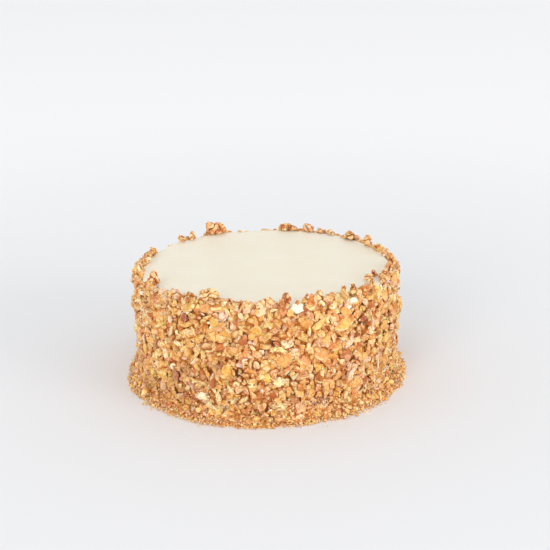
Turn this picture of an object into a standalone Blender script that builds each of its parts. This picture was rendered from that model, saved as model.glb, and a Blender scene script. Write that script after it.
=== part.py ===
"""A whole round carrot cake: smooth cream cheese frosting on top, chopped walnuts pressed
round the side, larger walnut pieces standing along the rim, and a bank of fine crumbs
round the foot.

Metres, +Z up. The origin is the centre of the cake's underside. Azimuths are in degrees,
anticlockwise from +X as seen from above, so the cake's front is at 270.
"""

import math
import random

import bmesh
import bpy
from mathutils import Matrix, Vector, noise

MM = 0.001
GAP = 0.3 * MM  # clearance between pieces that touch
SEED = 5

# Frosted cake
CAKE_RADIUS = 105 * MM
CAKE_HEIGHT = 93 * MM
SHOULDER_ROUND = 4 * MM
CAKE_SEGMENTS = 96

# Coat of chopped walnuts round the side
COAT_FOOT_RADIUS = 109.3 * MM
COAT_TOP_RADIUS = 111.4 * MM
COAT_SEGMENTS = 104
COAT_ROWS = 12
NUT_RELIEF = 2 * MM  # how far single nuts stand out of the coat, or sink into it
CREST_HEIGHT = 91.5 * MM  # the coat ends just under the frosting's edge
CREST_SLANT = 1 * MM  # higher at the front, lower at the back
CREST_UNEVEN = 2 * MM
CREST_SPACING = 13 * MM
SEAT_MARGIN = 2.5 * MM  # flat crest beyond each end of a rim walnut
SEAT_RAMP = 10 * MM
LIP_GAP = 0.8 * MM  # clearance where the crest bends over the frosting's rounded edge

# Bank of fine crumbs round the foot
BANK_HEIGHT = 6 * MM  # where it meets the coat
BANK_TOE_RADIUS = 120 * MM
BANK_TOE_HEIGHT = 1.3 * MM
BANK_SPREAD = 5.5 * MM  # how much wider it lies in front and behind
BANK_UNEVEN = 2.5 * MM
BANK_SEGMENTS = 90
CRUMB_SPACING = 16 * MM
CRUMB_RELIEF = 1 * MM

# Walnut pieces on the rim: azimuth in degrees, then the radius that they stand at, width
# along the rim and height, in mm. Most straddle the frosting's edge, and two small chips lie
# further in.
RIM_WALNUTS = (
    (12.5, 105, 9, 5.5),
    (20.5, 104, 9, 5.5),
    (28.5, 102, 9, 10),
    (42.5, 102, 16, 7.5),
    (55, 102, 7, 5),
    (61, 102.5, 8, 4.5),
    (68, 103, 13, 7),
    (78, 102, 18, 6.5),
    (115, 102, 20, 12),
    (130.5, 101, 9, 7),
    (136.5, 101.5, 7, 6.5),
    (162, 102, 9, 7.5),
    (173.5, 101, 8, 8),
    (185, 105.5, 9, 7),
    (207, 102, 10, 11.5),
    (226, 105.5, 8.5, 6.5),
    (235, 104, 10.5, 6.5),
    (245, 103.5, 18, 13.5),
    (254.5, 107, 8.5, 7.5),
    (261, 107, 9.5, 7.5),
    (269.5, 107, 15, 9),
    (278, 107, 8, 12),
    (286.5, 105, 7, 9),
    (292.5, 105, 9, 11),
    (298.5, 107, 8, 7),
    (304, 107, 6.5, 10.5),
    (310.5, 105, 8, 10.5),
    (322, 106, 13, 9),
    (331, 94, 8, 5.5),
    (339.5, 94.5, 7.5, 5),
    (336, 105, 10, 9),
    (346, 105, 9, 8),
    (354, 105, 9.5, 11),
)
LARGE_WALNUT = 13  # width in mm from which a piece gets finer facets
CHIP_RADIUS = 97  # radius in mm inside which a piece lies clear of the coat


def make_object(name, bm, material):
    """A smooth-shaded object from a bmesh, with sharp edges where nuts break."""
    mesh = bpy.data.meshes.new(name)
    bm.normal_update()
    bm.to_mesh(mesh)
    bm.free()
    mesh.shade_smooth()
    mesh.set_sharp_from_angle(angle=math.radians(35))
    mesh.materials.append(material)
    obj = bpy.data.objects.new(name, mesh)
    bpy.context.scene.collection.objects.link(obj)
    return obj


def make_material(name, colour, roughness):
    material = bpy.data.materials.new(name)
    material.use_nodes = True
    shader = material.node_tree.nodes["Principled BSDF"]
    shader.inputs["Base Color"].default_value = (*colour, 1)
    shader.inputs["Roughness"].default_value = roughness
    shader.inputs["Metallic"].default_value = 0
    return material


def around(azimuth, radius, z):
    return Vector((radius * math.cos(azimuth), radius * math.sin(azimuth), z))


def turned(section_at, segments, is_ring, rng):
    """A bmesh swept round Z through section_at(azimuth, rng), a list of (radius, z, shift).

    A point's shift moves it along the turn, in segments. A ring's section is a closed loop,
    anticlockwise with the radius to the right. A solid's section runs from its underside's
    edge to its top's edge, and both are capped.
    """
    bm = bmesh.new()
    turn = 2 * math.pi / segments
    rings = []
    for step in range(segments):
        section = section_at(turn * step, rng)
        rings.append([bm.verts.new(around(turn * (step + shift), r, z)) for r, z, shift in section])
    count = len(rings[0])
    for here, there in zip(rings, rings[1:] + rings[:1]):
        for i in range(count if is_ring else count - 1):
            j = (i + 1) % count
            bm.faces.new((here[i], there[i], there[j], here[j]))
    if not is_ring:
        bm.faces.new([ring[0] for ring in reversed(rings)])
        bm.faces.new([ring[-1] for ring in rings])
    bmesh.ops.triangulate(bm, faces=bm.faces, quad_method="SHORT_EDGE")
    return bm


def shoulder(radius, angle):
    """A section point on an arc round the centre of the cake's rounded top edge."""
    return (
        CAKE_RADIUS - SHOULDER_ROUND + radius * math.cos(angle),
        CAKE_HEIGHT - SHOULDER_ROUND + radius * math.sin(angle),
        0,
    )


def cake_section(_azimuth, _rng):
    arc = [shoulder(SHOULDER_ROUND, math.radians(angle)) for angle in (0, 30, 60, 90)]
    return [(CAKE_RADIUS, 0, 0), *arc]


def smooth_step(value):
    value = min(max(value, 0), 1)
    return value * value * (3 - 2 * value)


def seat_share(azimuth):
    """1 under a rim walnut, where the crest is level with the frosting, and 0 away from it."""
    share = 0
    for azimuth_deg, radius_mm, width_mm, _height in RIM_WALNUTS:
        if radius_mm < CHIP_RADIUS:
            continue
        turn = (azimuth - math.radians(azimuth_deg) + math.pi) % (2 * math.pi) - math.pi
        beyond = abs(turn) * COAT_TOP_RADIUS - width_mm * MM / 2 - SEAT_MARGIN
        share = max(share, smooth_step(1 - beyond / SEAT_RAMP))
    return share


def crest_height(azimuth):
    """Height of the coat's crest, uneven except where it carries a rim walnut."""
    wave = noise.noise(around(azimuth, COAT_TOP_RADIUS, 0) / CREST_SPACING)
    free = CREST_HEIGHT - CREST_SLANT * math.sin(azimuth) + CREST_UNEVEN * wave
    share = seat_share(azimuth)
    return free + (CAKE_HEIGHT - free) * share


def coat_radius(z):
    """The coat's mean outer radius, wider towards the top."""
    return COAT_FOOT_RADIUS + (COAT_TOP_RADIUS - COAT_FOOT_RADIUS) * smooth_step(z / CAKE_HEIGHT)


def coat_section(azimuth, rng):
    """The coat's section: nuts of all sizes outside, and the cake's own profile inside."""
    crest = crest_height(azimuth)
    bottom = BANK_HEIGHT + 2 * MM
    row_step = (CREST_HEIGHT - 6 * MM - bottom) / (COAT_ROWS - 1)
    outside = []
    for row in range(COAT_ROWS):
        z = bottom + row_step * (row + rng.uniform(-0.3, 0.3))
        outside.append((coat_radius(z) + rng.uniform(-NUT_RELIEF, NUT_RELIEF), z, rng.uniform(-0.3, 0.3)))
    for inset, drop in ((0.4 * MM, 2.6 * MM), (3 * MM, 0)):
        outside.append((COAT_TOP_RADIUS - inset + NUT_RELIEF / 2 * rng.uniform(-1, 1), crest - drop, 0))
    arc = SHOULDER_ROUND + LIP_GAP
    wall_top = CAKE_HEIGHT - SHOULDER_ROUND
    lip = math.asin(min(max((crest - wall_top) / arc, 0), 1))
    inside = [shoulder(arc, lip * share) for share in (1, 0.6, 0.3)]
    return [
        (COAT_FOOT_RADIUS, 0, 0),
        (COAT_FOOT_RADIUS, BANK_HEIGHT + 0.5 * MM, 0),
        *outside,
        *inside,
        (CAKE_RADIUS + GAP, wall_top - 1 * MM, 0),
        (CAKE_RADIUS + GAP, 0, 0),
    ]


def bank_section(azimuth, rng):
    """The bank's slope, from an uneven toe up to the coat's foot."""
    inner = COAT_FOOT_RADIUS + GAP
    uneven = noise.noise(around(azimuth, BANK_TOE_RADIUS, 0) / CRUMB_SPACING)
    toe = BANK_TOE_RADIUS + BANK_SPREAD * math.sin(azimuth) ** 2 + BANK_UNEVEN * uneven
    slope = []
    for share in (0.05, 0.33, 0.66, 1):
        height = BANK_TOE_HEIGHT + (BANK_HEIGHT - BANK_TOE_HEIGHT) * share**1.4
        bump = CRUMB_RELIEF * rng.uniform(-1, 1) * min(share, 0.6)
        slope.append((toe + (inner - toe) * share, height + bump, 0))
    return [(inner, 0, 0), (toe, 0, 0), *slope]


def lobe_reach(direction, lobe):
    """Distance from the middle to the surface of a round lobe that holds the middle."""
    centre, radius = lobe
    along = direction.dot(centre)
    return along + math.sqrt(along * along - centre.length_squared + radius * radius)


def walnut_piece(seed, detail, size):
    """A bmesh of a broken piece of kernel: round lobes, cut by flat breaks.

    size is its width, depth and height. It stands on a flat break, at its own origin.
    """
    rng = random.Random(seed)
    lobes = []
    for _ in range(rng.randint(3, 5)):
        azimuth = rng.uniform(0, 2 * math.pi)
        centre = around(azimuth, rng.uniform(0.35, 0.62), rng.uniform(-0.35, 0.45))
        lobes.append((centre, centre.length + rng.uniform(0.22, 0.42)))
    breaks = [(Vector((0, 0, -1)), 0.42)]
    for _ in range(2):
        azimuth = rng.uniform(0, 2 * math.pi)
        breaks.append((around(azimuth, 1, rng.uniform(-0.2, 0.8)).normalized(), rng.uniform(0.4, 0.62)))
    bm = bmesh.new()
    bmesh.ops.create_icosphere(bm, subdivisions=detail, radius=1)
    for vert in bm.verts:
        direction = vert.co.normalized()
        reach = max(lobe_reach(direction, lobe) for lobe in lobes)
        for normal, offset in breaks:
            facing = direction.dot(normal)
            if facing > 0:
                reach = min(reach, offset / facing)
        vert.co = direction * reach
    low = Vector([min(v.co[i] for v in bm.verts) for i in range(3)])
    high = Vector([max(v.co[i] for v in bm.verts) for i in range(3)])
    middle = (low + high) / 2
    middle.z = low.z
    for vert in bm.verts:
        vert.co = Vector([(vert.co[i] - middle[i]) * size[i] / (high[i] - low[i]) for i in range(3)])
    return bm


def add_rim_walnut(number, azimuth_deg, radius_mm, width_mm, height_mm, material):
    """One piece on the rim, standing level with the frosting."""
    azimuth = math.radians(azimuth_deg)
    depth_mm = min(9, 0.8 * width_mm + 1)
    detail = 3 if width_mm >= LARGE_WALNUT else 2
    bm = walnut_piece(number, detail, (width_mm * MM, depth_mm * MM, height_mm * MM))
    walnut = make_object(f"rim_walnut_{number:02d}", bm, material)
    place = Matrix.Translation(around(azimuth, radius_mm * MM, CAKE_HEIGHT + GAP))
    walnut.matrix_world = place @ Matrix.Rotation(azimuth + math.pi / 2, 4, "Z")


def main():
    for obj in list(bpy.data.objects):
        bpy.data.objects.remove(obj)
    frosting = make_material("frosting", (0.87, 0.81, 0.66), 0.5)
    nuts = make_material("chopped_walnut", (0.62, 0.36, 0.16), 0.6)
    crumbs = make_material("nut_crumb", (0.62, 0.38, 0.18), 0.75)
    kernel = make_material("walnut_kernel", (0.66, 0.38, 0.17), 0.55)
    rings = (
        ("frosted_cake", cake_section, CAKE_SEGMENTS, False, frosting),
        ("nut_coat", coat_section, COAT_SEGMENTS, True, nuts),
        ("crumb_bank", bank_section, BANK_SEGMENTS, True, crumbs),
    )
    for name, section_at, segments, is_ring, material in rings:
        make_object(name, turned(section_at, segments, is_ring, random.Random(SEED)), material)
    for number, sizes in enumerate(RIM_WALNUTS, start=1):
        add_rim_walnut(number, *sizes, kernel)


main()
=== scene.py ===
"""The looks of a whole round carrot cake: frosting, chopped walnuts, crumbs, light and camera.

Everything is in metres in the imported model's own frame: +Z up, the origin under the middle of
the cake, and the front at azimuth 270 degrees. Each heap of nuts or crumbs is a rough core with
separate closed pieces on it, and pieces of one kind are joined into one mesh.
"""

import math
import random

import bmesh
import bpy
import numpy as np
from mathutils import Matrix, Vector
from mathutils.bvhtree import BVHTree


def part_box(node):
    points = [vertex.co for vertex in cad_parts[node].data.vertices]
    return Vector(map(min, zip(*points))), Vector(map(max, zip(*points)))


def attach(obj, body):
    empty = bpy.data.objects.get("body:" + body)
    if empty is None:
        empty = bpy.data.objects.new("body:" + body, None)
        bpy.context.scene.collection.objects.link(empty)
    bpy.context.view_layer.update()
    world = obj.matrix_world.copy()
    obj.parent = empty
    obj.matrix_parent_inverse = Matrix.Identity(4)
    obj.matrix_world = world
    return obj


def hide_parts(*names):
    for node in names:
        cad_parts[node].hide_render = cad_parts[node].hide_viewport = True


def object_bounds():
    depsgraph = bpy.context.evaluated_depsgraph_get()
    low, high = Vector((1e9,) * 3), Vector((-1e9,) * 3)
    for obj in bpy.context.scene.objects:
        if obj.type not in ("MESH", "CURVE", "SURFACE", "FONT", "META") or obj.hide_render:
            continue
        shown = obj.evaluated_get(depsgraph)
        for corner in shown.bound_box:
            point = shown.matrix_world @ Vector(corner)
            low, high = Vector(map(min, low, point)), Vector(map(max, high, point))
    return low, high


MM = 0.001
HORIZON_LIGHT = 1.05
ZENITH_LIGHT = 0.80
BODY = "root"
TURN = 2 * math.pi
UP = np.array([0.0, 0.0, 1.0])

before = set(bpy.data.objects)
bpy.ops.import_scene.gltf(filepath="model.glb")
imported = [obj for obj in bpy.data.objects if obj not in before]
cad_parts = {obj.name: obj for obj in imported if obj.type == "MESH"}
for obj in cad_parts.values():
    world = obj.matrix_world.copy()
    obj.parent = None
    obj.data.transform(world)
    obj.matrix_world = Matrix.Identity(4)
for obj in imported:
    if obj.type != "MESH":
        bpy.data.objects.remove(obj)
CAD_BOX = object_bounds()


# ---- sizes from the frame


def cad_outline(node, upright, bins=72):
    """A periodic function of azimuth: the greatest height, or radius, of a CAD node's points there."""
    x, y, z = np.array([v.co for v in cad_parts[node].data.vertices]).T
    azimuths = np.arctan2(y, x) % TURN
    values = z if upright else np.hypot(x, y)
    middles = (np.arange(bins) + 0.5) * TURN / bins
    which = (azimuths / TURN * bins).astype(int) % bins
    highest = np.array([values[which == b].max() for b in range(bins)])
    return lambda azimuth: np.interp(np.asarray(azimuth) % TURN, middles, highest, period=TURN)


CAKE_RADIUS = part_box("frosted_cake")[1].x
CAKE_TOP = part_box("frosted_cake")[1].z
BANK_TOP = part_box("crumb_bank")[1].z
crest_height = cad_outline("nut_coat", True)
bank_toe = cad_outline("crumb_bank", False)
WALL_FOOT = 109.3 * MM
WALL_TOP = 111.4 * MM
GIRTH = TURN * WALL_TOP
SHOULDER = 4 * MM
BANK_EDGE = 0.7 * MM
BANK_RISE = BANK_TOP - 3.2 * MM  # which leaves room for the grains on the slope

# Places on the rim where the nuts leave the frosting bare: azimuth and half width in degrees,
# and how far the nuts stay down, in mm.
BARE_SPOTS = ((198, 4, 5), (283, 3.2, 7), (307.5, 2.2, 6), (328.5, 3.2, 6), (98, 5, 2.5), (146, 9, 3),
              (123, 3, 2.5))
# The crest of the nuts is higher than the CAD outline at the front, and lower behind.
FRONT_RISE = 2.6 * MM
BACK_DROP = 0.8 * MM
LARGE_PIECE = 10 * MM  # from which a nut goes into its kind's finer mesh
# Loose bits on the frosting: azimuth in degrees, then the radius, the size and how far the bit
# stands out of the frosting, in mm. The two that stand out most lie on a bare spot's lump.
TOP_BITS = ((124, 101, 2.6, 1.2), (103, 100.8, 3.6, 1.6), (99.5, 100.6, 2.4, 1.1), (87.5, 101, 2.6, 1.2),
            (47, 101.5, 5.2, 2.3), (283, 106, 6.5, 5.2), (286.2, 106, 6.5, 5.4), (300, 99.5, 3.2, 1.4),
            (218, 99.5, 2.6, 1.2), (203, 98, 3.0, 1.4))
# Frosting pressed out between the nuts: azimuth in degrees, height, width and thickness in mm.
SMEARS = ((308.5, 90.5, 10, 4.5), (305, 86.5, 5.5, 3.5), (326.5, 91.5, 8, 4), (282.5, 92.2, 11.5, 5),
          (246, 80, 4, 3), (204, 86, 5, 3.5), (236, 85.5, 4, 3), (112, 82, 5, 3), (30, 84, 6, 3.5),
          (351, 78, 4, 3), (170, 83, 5, 3))
# Large pieces on the side that can be told apart: azimuth in degrees, height, length and width
# in mm, how steeply they climb to the right in degrees, skin tone and flesh tone.
FACE_WALNUTS = (
    (268.5, 94, 16, 11, 35, 0.30, 0.8),
    (261.5, 94, 13, 9.5, 50, 0.74, 0.9),
    (276.8, 94, 15, 7.5, 80, 0.82, 0.6),
    (284.5, 90, 11, 4.5, 58, 0.90, 0.6),
    (289.4, 97, 12, 9.5, 85, 0.70, 0.7),
    (296, 96, 11.5, 8, 12, 0.90, 0.6),
    (304, 94, 14, 5.5, 86, 0.80, 0.9),
    (309.2, 84, 11, 8.5, 80, 0.08, 0.5),
    (316, 96, 12, 8, 20, 0.72, 0.6),
    (232, 95, 12, 7, -35, 0.88, 0.7),
    (252, 86, 10, 8, 75, 0.30, 1.0),
    (244, 76, 11, 9, 60, 0.80, 0.7),
    (248, 69, 18, 9.5, -8, 0.30, 0.85),
    (274, 60, 14, 5.5, -5, 0.84, 0.5),
    (306, 57, 12, 8, 80, 0.50, 0.9),
    (284.5, 36.5, 15, 8.5, -5, 1.0, 0.6),
    (235, 35, 12, 6.5, -25, 0.98, 0.6),
    (292, 35, 15, 7.5, 62, 0.88, 0.6),
    (275, 33, 14, 8, 25, 0.50, 0.95),
    (307.8, 31, 15, 9, 75, 0.30, 1.0),
    (284.3, 26, 9, 7, -5, 0.72, 0.5),
    (254.3, 20, 8, 7.5, 0, 0.30, 0.5),
    (259.8, 18, 11, 5, 35, 0.92, 0.6),
    (248.9, 17, 13, 5, 85, 0.50, 0.9),
    (280.5, 16.5, 9, 7.5, 0, 0.98, 0.6),
    (241.5, 15, 14, 11, 10, 0.30, 1.0),
    (275, 11, 14, 8, -10, 0.74, 0.9),
    (283.6, 9, 14, 9, 70, 0.35, 0.6),
    (244.8, 8.5, 10, 6, -20, 0.84, 1.0),
    (288.6, 6, 9, 8.5, 0, 0.35, 0.5),
)
FACE_CURLS = ((270.3, 79), (269.6, 46))  # azimuth in degrees and height in mm
BACK_GAPS = 24
GAP_DEPTH = 1.9 * MM
# Deep gaps between the nuts, where the core is pushed in and darkened with painted shade: azimuth in
# degrees, height and width in mm.
FRONT_GAPS = ((257.5, 39, 6), (261, 30, 3.5), (227, 17, 6), (272, 65, 3.5), (309.4, 39, 4),
              (279.3, 36, 4), (313.7, 33, 5), (315.5, 8, 6), (290.5, 10, 4.5), (311.5, 70, 6),
              (237.7, 50, 4), (245, 38, 3.5), (251.5, 9, 4), (319.7, 20, 4.5), (296, 11, 3.5),
              (256, 52, 4), (243, 84, 4))
# Skin tones of the rim walnuts that aren't golden, by number: above 0.6 they are orange, red-brown
# and mauve.
RIM_SKINS = {4: 0.66, 8: 0.62, 9: 0.74, 10: 0.78, 12: 0.7, 15: 0.84, 17: 0.78, 18: 0.15, 19: 0.7, 22: 0.84,
             23: 0.7, 25: 0.9, 26: 0.76, 28: 0.68, 30: 0.8, 32: 0.8}
RIM_BARE = {18: 0.9, 19: 0.4, 21: 0.5, 24: 0.4}  # how much more of their skin these have lost
CELL = 9 * MM  # of the grid in which neighbours are looked up
# How many pieces of each kind are tried. Those that find no room are left out.
SIDE_NUTS = 2800
UNDER_NUTS = 1300
CURLS = 36
SIDE_BITS = 950
FOOT_GRAINS = 1300
CREST_NUTS = 430
BANK_GRAINS = 6300
BANK_NUTS = 280
# Forms of nut pieces, as kernels takes them.
GRAIN = dict(lobes=3, spread=(0.1, 0.5), bulge=(0.25, 0.45), breaks=4, depth=(0.35, 0.6))
CHIP = dict(spread=(0.3, 0.6), bulge=(0.2, 0.4), depth=(0.3, 0.55))
LARGE_NUT = dict(lobes=5, spread=(0.35, 0.6), bulge=(0.22, 0.4), breaks=2, depth=(0.42, 0.6), fold=0.38)


def toe_radius(azimuth):
    """The crumbs' reach, drawn in a little on the right."""
    azimuth = np.asarray(azimuth, dtype=float)
    return bank_toe(azimuth) - 3 * MM * np.clip(np.cos(azimuth - math.radians(340)), 0, 1)


def packed_radius(azimuth):
    """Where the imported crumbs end. Beyond it they lie loose on the ground, by most at the sides."""
    return toe_radius(azimuth) - (3.0 + 3.2 * np.cos(azimuth) ** 2) * MM


def smooth_step(value):
    """0 to 1 with soft ends, and held there beyond them."""
    value = np.clip(value, 0, 1)
    return value * value * (3 - 2 * value)


def turn_from(azimuth, middle):
    """The angle between two azimuths, without its sign. middle is in degrees."""
    return np.abs((azimuth - math.radians(middle) + math.pi) % TURN - math.pi)


def bare_depth(azimuth):
    """How far the nuts stay below the rim: nothing away from the bare spots."""
    depth = np.zeros_like(azimuth, dtype=float)
    for middle, half, drop in BARE_SPOTS:
        share = smooth_step(1.6 - turn_from(azimuth, middle) / math.radians(half))
        depth = np.maximum(depth, drop * MM * share)
    return depth


def deep_gaps():
    """The gaps at the front, and others like them round the back."""
    rng = np.random.default_rng(71)
    azimuth = rng.uniform(-25, 205, BACK_GAPS) % 360
    return [*FRONT_GAPS, *zip(azimuth, rng.uniform(8, 84, BACK_GAPS), rng.uniform(3.5, 6, BACK_GAPS))]


def gap_share(points):
    """How deep within a gap each point of the side lies, from 0 to 1."""
    azimuth = np.arctan2(points[..., 1], points[..., 0])
    share = np.zeros(azimuth.shape)
    for middle, height, width in deep_gaps():
        away = np.hypot(turn_from(azimuth, middle) * WALL_TOP, points[..., 2] - height * MM)
        share = np.maximum(share, np.exp(-((away / (0.7 * width * MM)) ** 2)))
    return share


def crest(azimuth):
    """Height at which the side nuts end."""
    azimuth = np.asarray(azimuth, dtype=float)
    lean = -np.sin(azimuth)
    return crest_height(azimuth) + np.where(lean > 0, FRONT_RISE, BACK_DROP) * lean - bare_depth(azimuth)


def wall_radius(z):
    """The mean outer radius of the nuts, wider towards the top."""
    return WALL_FOOT + (WALL_TOP - WALL_FOOT) * smooth_step(z / CAKE_TOP)


def bank_height(azimuth, radius):
    """Height of the crumb bank's slope."""
    toe = packed_radius(azimuth)
    share = np.clip((toe - radius) / (toe - WALL_FOOT), 0, 1)
    return BANK_EDGE + BANK_RISE * share**2.4


def outward(azimuth):
    """Level unit vectors away from the cake's axis."""
    return np.stack([np.cos(azimuth), np.sin(azimuth), np.zeros_like(azimuth)], -1)


def site(azimuth, radius, height, lean):
    """Points at a radius and height, and normals that lean up from level by an angle."""
    out = outward(azimuth)
    points = out * radius[:, None] + UP * height[:, None]
    return points, out * np.cos(lean)[:, None] + UP * np.sin(lean)[:, None]


# ---- materials


class Graph:
    """Short calls that build the nodes of a material or the world."""

    def __init__(self, owner, shader="Principled BSDF", place="Object"):
        owner.use_nodes = True
        self.owner = owner
        self.tree = owner.node_tree
        self.shader = self.tree.nodes[shader]
        self.place = self.node("TexCoord").outputs[place]

    def node(self, kind, inputs=(), **settings):
        node = self.tree.nodes.new("ShaderNode" + kind)
        for name, value in settings.items():
            setattr(node, name, value)
        for key, value in dict(inputs).items():
            self.put(node.inputs[key], value)
        return node

    def put(self, socket, value):
        if isinstance(value, bpy.types.NodeSocket):
            self.tree.links.new(value, socket)
        elif isinstance(value, tuple) and len(value) == 3 and socket.type == "RGBA":
            socket.default_value = (*value, 1)
        else:
            socket.default_value = value

    def mark(self, name):
        """A value kept at each vertex."""
        return self.node("Attribute", attribute_name=name).outputs["Fac"]

    def noise(self, feature, detail=2.0, roughness=0.5, distortion=0.0):
        """Noise from 0 to 1 whose blotches are about one feature, in metres, across."""
        inputs = dict(Vector=self.place, Scale=0.6 / feature, Detail=detail, Roughness=roughness)
        return self.node("TexNoise", {**inputs, "Distortion": distortion}).outputs["Fac"]

    def math(self, operation, a, b=0.0, clamp=False):
        return self.node("Math", {0: a, 1: b}, operation=operation, use_clamp=clamp).outputs[0]

    def times(self, a, b):
        return self.math("MULTIPLY", a, b)

    def vector(self, operation, a, b):
        return self.node("VectorMath", {0: a, 1: b}, operation=operation).outputs[0]

    def combine(self, x, y, z):
        return self.node("CombineXYZ", {0: x, 1: y, 2: z}).outputs[0]

    def span(self, value, low, high, out_low=0.0, out_high=1.0):
        """Takes low..high smoothly to out_low..out_high."""
        inputs = {"Value": value, "From Min": low, "From Max": high, "To Min": out_low, "To Max": out_high}
        return self.node("MapRange", inputs, interpolation_type="SMOOTHSTEP").outputs[0]

    def ramp(self, value, *stops):
        """Colours along a value. Each stop is a position and a colour in screen values."""
        node = self.node("ValToRGB", {"Fac": value})
        elements = node.color_ramp.elements
        while len(elements) < len(stops):
            elements.new(1.0)
        for element, (position, *colour) in zip(elements, stops):
            element.position = position
            element.color = (*srgb(*colour), 1)
        return node.outputs["Color"]

    def mix(self, share, a, b, blend="MIX"):
        node = self.node("Mix", data_type="RGBA", blend_type=blend)
        self.put(node.inputs[0], share)
        self.put(node.inputs[6], a)
        self.put(node.inputs[7], b)
        return node.outputs[2]

    def bump(self, *layers):
        """Adds (height, depth in metres) layers of fine relief."""
        normal = None
        for height, depth in layers:
            inputs = {"Height": height, "Distance": depth, "Strength": 1.0}
            if normal is not None:
                inputs["Normal"] = normal
            normal = self.node("Bump", inputs).outputs["Normal"]
        self.put(self.shader.inputs["Normal"], normal)

    def finish(self, colour, roughness, **plain):
        self.put(self.shader.inputs["Base Color"], colour)
        self.put(self.shader.inputs["Roughness"], roughness)
        for name, value in plain.items():
            self.put(self.shader.inputs[name.replace("_", " ")], value)
        return self.owner


def srgb(*screen):
    """A linear colour from red, green and blue screen values of 0 to 255."""
    values = [c / 255 for c in screen]
    return tuple(c / 12.92 if c <= 0.04045 else ((c + 0.055) / 1.055) ** 2.4 for c in values)


def frosting_material():
    """Soft ivory frosting."""
    g = Graph(bpy.data.materials.new("frosting_finish"))
    broad = g.noise(28 * MM, 2)
    fine = g.noise(1.6 * MM, 3)
    colour = g.mix(g.span(broad, 0.3, 0.7), srgb(243, 235, 216), srgb(240, 232, 209))
    g.bump((fine, 0.05 * MM), (g.noise(6 * MM, 2), 0.12 * MM))
    return g.finish(
        colour,
        g.span(fine, 0.2, 0.8, 0.42, 0.56),
        Subsurface_Weight=0.25,
        Subsurface_Radius=(1.0, 0.75, 0.45),
        Subsurface_Scale=2.5 * MM,
    )


def walnut_material():
    """Walnut with thin skin over paler flesh, both creased by winding folds.

    Kept at each vertex are tone, of the flesh, skin_tone, from golden to brown, tint, the
    brightness of the piece, folded, how deep its creases are, key, which gives it a pattern of
    its own, skin, rim and furrow, which say where those show, and its depth in the heap.
    Painted shade darkens the creases, the furrows and the pieces that lie deep in the heap,
    and painted highlights lighten the ridges of the folds and the broken edges. The creases
    and furrows are also partly the skin's own darker colour, and the edges the paler flesh.
    """
    g = Graph(bpy.data.materials.new("walnut_finish"))
    key = g.mark("key")
    g.place = g.vector("ADD", g.place, g.vector("MULTIPLY", g.combine(key, key, key), (1.0, 2.3, 3.7)))
    blotch = g.noise(3.0 * MM, 3, 0.55)
    fine = g.noise(0.8 * MM, 2)
    winding = g.math("ABSOLUTE", g.math("SUBTRACT", g.noise(3.4 * MM, 1.5, 0.45, 0.6), 0.5))
    fold = g.span(winding, 0.0, 0.10)
    folded = g.mark("folded")
    # The creases' dark colour is partly the skin's own and partly painted shade.
    crease_pigment_and_shade = g.times(g.span(winding, 0.035, 0.0), folded)
    tone = g.math("ADD", g.mark("tone"), g.span(blotch, 0.25, 0.75, -0.12, 0.12), clamp=True)
    flesh = g.ramp(
        tone,
        (0.0, 238, 182, 112),
        (0.35, 247, 204, 138),
        (0.7, 250, 218, 170),
        (1.0, 252, 232, 206),
    )
    skin_tone = g.math("ADD", g.mark("skin_tone"), g.span(blotch, 0.25, 0.75, -0.09, 0.09), clamp=True)
    skin_colour = g.ramp(
        skin_tone,
        (0.0, 250, 206, 128),
        (0.2, 244, 190, 106),
        (0.4, 240, 176, 102),
        (0.55, 230, 164, 108),
        (0.68, 226, 148, 84),
        (0.82, 206, 120, 62),
        (0.92, 172, 94, 56),
        (1.0, 200, 142, 114),
    )
    edge = g.math("ADD", g.mark("skin"), g.span(fine, 0.2, 0.8, -0.2, 0.2))
    colour = g.mix(g.span(edge, 0.38, 0.62), flesh, skin_colour)
    # Painted highlight on the ridges of the folds.
    painted_ridge_highlight = g.times(g.span(winding, 0.05, 0.16), folded)
    speck = g.noise(1.2 * MM, 2, 0.6)
    for share, *layer in (
        # cream along broken edges: the paler flesh there, and partly a painted highlight
        (g.times(g.mark("rim"), 0.55), 254, 230, 194),
        # painted highlight on the ridges of the folds
        (g.times(painted_ridge_highlight, 0.35), 254, 222, 174),
        # creases: partly the skin's own darker colour, partly painted shade
        (g.times(crease_pigment_and_shade, 0.75), 186, 98, 34),
        # furrows, darkest where deepest: partly the skin's own darker colour, partly painted shade
        (g.times(g.mark("furrow"), 0.55), 200, 110, 40),
        (g.span(g.mark("furrow"), 0.72, 1.15, 0.0, 0.75), 134, 58, 26),
        (g.span(speck, 0.56, 0.68, 0.0, 0.4), 220, 142, 72),
    ):
        colour = g.mix(share, colour, srgb(*layer))
    shade = g.times(g.mark("tint"), g.span(fine, 0.25, 0.75, 0.91, 1.08))
    blue = g.times(shade, g.span(key, 0, 1, 0.82, 1.12))
    other_key = g.math("FRACT", g.times(key, 5.7))
    green = g.times(shade, g.span(other_key, 0, 1, 0.94, 1.10))
    colour = g.vector("MULTIPLY", colour, g.combine(shade, green, blue))
    # Painted shade on pieces that lie deep in the heap: darker and warmer with depth.
    deep = g.mix(g.mark("sunk"), srgb(255, 255, 255), srgb(248, 218, 180))
    colour = g.mix(1.0, colour, deep, "MULTIPLY")
    g.bump((g.times(fold, folded), 0.7 * MM), (g.noise(0.6 * MM, 2), 0.08 * MM))
    return g.finish(
        colour,
        g.span(fine, 0.2, 0.8, 0.42, 0.6),
        Specular_IOR_Level=0.28,
        Subsurface_Weight=0.15,
        Subsurface_Radius=(1.0, 0.45, 0.2),
        Subsurface_Scale=1.4 * MM,
    )


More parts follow.
